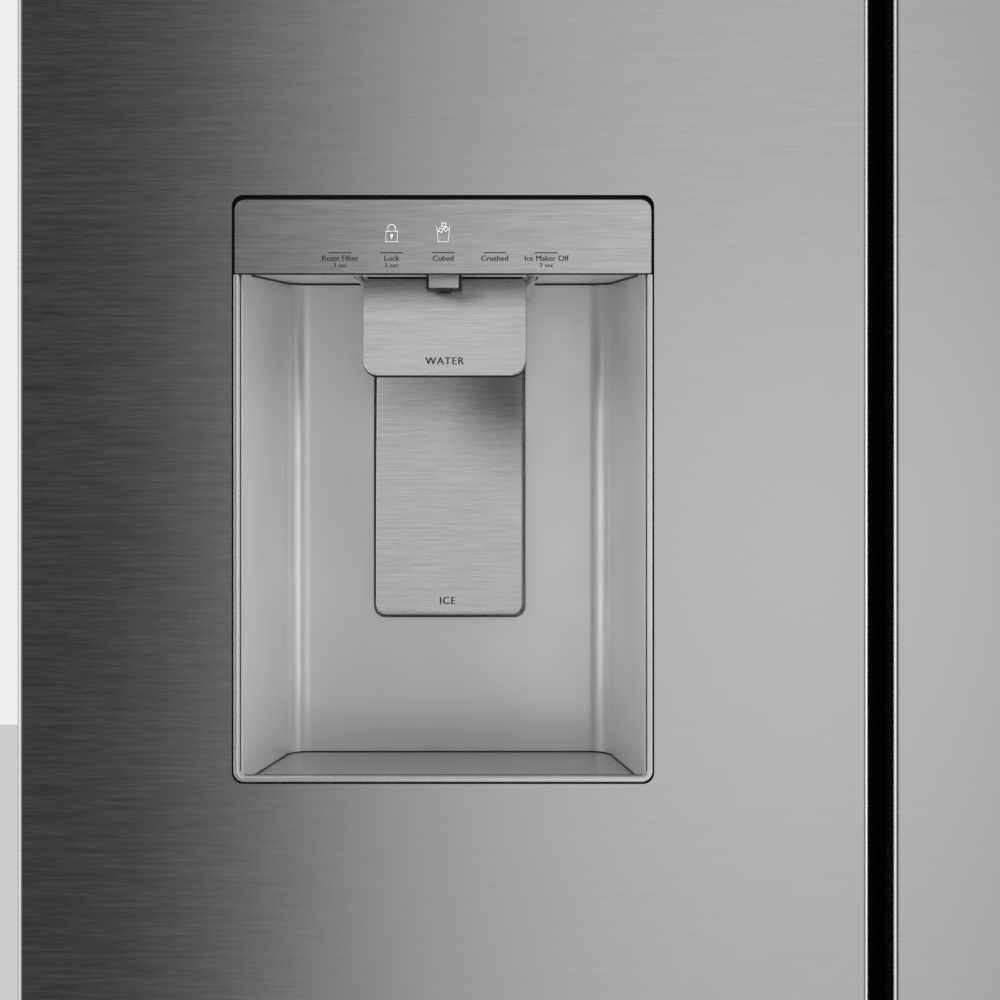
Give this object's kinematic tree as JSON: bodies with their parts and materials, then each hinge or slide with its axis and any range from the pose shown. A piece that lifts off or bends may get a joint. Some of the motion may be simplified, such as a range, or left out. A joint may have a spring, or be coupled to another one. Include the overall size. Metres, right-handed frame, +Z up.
{
  "type": "side by side refrigerator",
  "caption": "Side by side refrigerator in brushed steel with a through-door ice and water dispenser, recessed finger pulls, shelves, drawers and door bins.",
  "frame": {"origin": "on the floor under the middle of the body's box", "axes": "+Z up, doors face -Y, the freezer door is on the -X side"},
  "size_m": [0.908, 0.712, 1.775],
  "materials": {
    "brushed_steel": "horizontal brushed grain, satin",
    "cabinet_paint": "fine textured grey enamel",
    "zinc_steel": "zinc-plated pressed sheet",
    "insulation_foam": "rigid polyurethane foam",
    "liner_plastic": "smooth vacuum-formed white",
    "white_plastic": "fine-textured white moulding",
    "dispenser_plastic": "metallic silver moulding",
    "silver_trim": "metallised trim, satin",
    "black_plastic": "black fine-textured moulding",
    "dark_machine": "black semi-gloss enamel",
    "clear_plastic": "clear moulded polystyrene",
    "shelf_glass": "tempered glass, green edge",
    "gasket_rubber": "soft grey extrusion",
    "aluminium": "bare fin stock",
    "polished_steel": "bright drawn steel",
    "lamp_lens": "frosted diffuser"
  },
  "bodies": {
    "cabinet": {"cabinet_shell": "cabinet_paint", "insulation": "insulation_foam", "back_panel": "zinc_steel", "base_frame": "zinc_steel", "freezer_liner": "liner_plastic", "fridge_liner": "liner_plastic", "kick_grille": "black_plastic", "machine_cover": "zinc_steel", "compressor": "dark_machine", "condenser": "dark_machine", "water_valve": "white_plastic", "top_hinges": "zinc_steel", "bottom_hinges": "zinc_steel", "hinge_covers": "black_plastic", "evaporator": "aluminium", "evaporator_cover": "white_plastic", "air_duct": "white_plastic", "ice_maker": "white_plastic", "auger_motor": "white_plastic", "shelf_frames": "silver_trim", "shelf_glass": "shelf_glass", "lamps": "lamp_lens"},
    "freezer_door": {"freezer_door_panel": "brushed_steel", "freezer_door_core": "insulation_foam", "freezer_door_liner": "liner_plastic", "freezer_door_caps": "black_plastic", "freezer_gasket": "gasket_rubber", "freezer_grip": "black_plastic", "dispenser_housing": "dispenser_plastic", "dispenser_bezel": "silver_trim", "control_panel": "brushed_steel", "ice_chute": "white_plastic", "water_nozzle": "silver_trim", "freezer_door_bins": "clear_plastic"},
    "fridge_door": {"fridge_door_panel": "brushed_steel", "fridge_door_core": "insulation_foam", "fridge_door_liner": "liner_plastic", "fridge_door_caps": "black_plastic", "fridge_gasket": "gasket_rubber", "fridge_grip": "black_plastic", "fridge_door_bins": "clear_plastic"},
    "water_paddle": {"water_paddle": "brushed_steel"},
    "ice_paddle": {"ice_paddle": "brushed_steel"},
    "chute_flap": {"chute_flap": "black_plastic"},
    "dairy_lid": {"dairy_lid": "clear_plastic"},
    "ice_bucket": {"ice_bucket": "clear_plastic"},
    "auger": {"auger": "polished_steel"},
    "feeler_arm": {"feeler_arm": "polished_steel"},
    "freezer_drawer_upper": {"freezer_drawer_upper": "clear_plastic"},
    "freezer_drawer_lower": {"freezer_drawer_lower": "clear_plastic"},
    "crisper_upper": {"crisper_upper": "clear_plastic"},
    "crisper_lower": {"crisper_lower": "clear_plastic"},
    "humidity_slider": {"humidity_slider": "white_plastic"},
    "water_filter": {"water_filter": "white_plastic"},
    "evaporator_fan": {"evaporator_fan": "black_plastic"},
    "condenser_fan": {"condenser_fan": "white_plastic"},
    "rear_roller_left": {"rear_roller_left": "black_plastic"},
    "rear_roller_right": {"rear_roller_right": "black_plastic"},
    "levelling_foot_left": {"levelling_foot_left": "black_plastic"},
    "levelling_foot_right": {"levelling_foot_right": "black_plastic"}
  },
  "joints": [
    {"name": "freezer_door_hinge", "type": "hinge", "parent": "cabinet", "child": "freezer_door", "pos_m": [-0.434, -0.31, 0.9], "axis": [0, 0, -1], "range_deg": [0, 120]},
    {"name": "fridge_door_hinge", "type": "hinge", "parent": "cabinet", "child": "fridge_door", "pos_m": [0.434, -0.31, 0.9], "axis": [0, 0, 1], "range_deg": [0, 120]},
    {"name": "water_paddle_pivot", "type": "hinge", "parent": "freezer_door", "child": "water_paddle", "pos_m": [-0.25325, -0.328, 1.262], "axis": [1, 0, 0], "range_deg": [0, 12], "stiffness_Nm_per_rad": 0.6, "springref_deg": -2.86},
    {"name": "ice_paddle_pivot", "type": "hinge", "parent": "freezer_door", "child": "ice_paddle", "pos_m": [-0.25325, -0.263, 1.219], "axis": [1, 0, 0], "range_deg": [0, 6], "stiffness_Nm_per_rad": 2, "springref_deg": -2.86},
    {"name": "chute_flap_pivot", "type": "hinge", "parent": "freezer_door", "child": "chute_flap", "pos_m": [-0.25325, -0.314, 1.303], "axis": [1, 0, 0], "range_deg": [-36, 0]},
    {"name": "dairy_lid_hinge", "type": "hinge", "parent": "fridge_door", "child": "dairy_lid", "pos_m": [0.24, -0.272, 1.57], "axis": [1, 0, 0], "range_deg": [0, 45]},
    {"name": "ice_bucket_lift", "type": "slide", "parent": "cabinet", "child": "ice_bucket", "axis": [0, 0, 1], "range_m": [0, 0.025]},
    {"name": "auger_turn", "type": "hinge", "parent": "ice_bucket", "child": "auger", "pos_m": [-0.25325, -0.0205, 1.452], "axis": [0, 1, 0], "continuous": true},
    {"name": "feeler_arm_pivot", "type": "hinge", "parent": "cabinet", "child": "feeler_arm", "pos_m": [-0.235, -0.098, 1.628], "axis": [1, 0, 0], "range_deg": [0, 24]},
    {"name": "freezer_drawer_upper_slide", "type": "slide", "parent": "cabinet", "child": "freezer_drawer_upper", "axis": [0, -1, 0], "range_m": [0, 0.045]},
    {"name": "freezer_drawer_lower_slide", "type": "slide", "parent": "cabinet", "child": "freezer_drawer_lower", "axis": [0, -1, 0], "range_m": [0, 0.045]},
    {"name": "crisper_upper_slide", "type": "slide", "parent": "cabinet", "child": "crisper_upper", "axis": [0, -1, 0], "range_m": [0, 0.04]},
    {"name": "crisper_lower_slide", "type": "slide", "parent": "cabinet", "child": "crisper_lower", "axis": [0, -1, 0], "range_m": [0, 0.04]},
    {"name": "humidity_slide", "type": "slide", "parent": "cabinet", "child": "humidity_slider", "axis": [1, 0, 0], "range_m": [-0.03, 0.03]},
    {"name": "water_filter_turn", "type": "hinge", "parent": "cabinet", "child": "water_filter", "pos_m": [0.363, -0.032, 1.656], "axis": [0, 1, 0], "range_deg": [0, 90]},
    {"name": "evaporator_fan_turn", "type": "hinge", "parent": "cabinet", "child": "evaporator_fan", "pos_m": [-0.237, 0.263, 0.72], "axis": [0, 1, 0], "continuous": true},
    {"name": "condenser_fan_turn", "type": "hinge", "parent": "cabinet", "child": "condenser_fan", "pos_m": [-0.05, 0.208, 0.158], "axis": [0, 1, 0], "continuous": true},
    {"name": "rear_roller_left_turn", "type": "hinge", "parent": "cabinet", "child": "rear_roller_left", "pos_m": [-0.39, 0.3, 0.02], "axis": [1, 0, 0], "continuous": true},
    {"name": "rear_roller_right_turn", "type": "hinge", "parent": "cabinet", "child": "rear_roller_right", "pos_m": [0.39, 0.3, 0.02], "axis": [1, 0, 0], "continuous": true},
    {"name": "levelling_foot_left_turn", "type": "hinge", "parent": "cabinet", "child": "levelling_foot_left", "pos_m": [-0.4, -0.23, 0.04], "axis": [0, 0, 1], "continuous": true},
    {"name": "levelling_foot_right_turn", "type": "hinge", "parent": "cabinet", "child": "levelling_foot_right", "pos_m": [0.4, -0.23, 0.04], "axis": [0, 0, 1], "continuous": true}
  ],
  "couplings": [
    {"joint": "chute_flap_pivot", "follows": "ice_paddle_pivot", "ratio": -6}
  ]
}
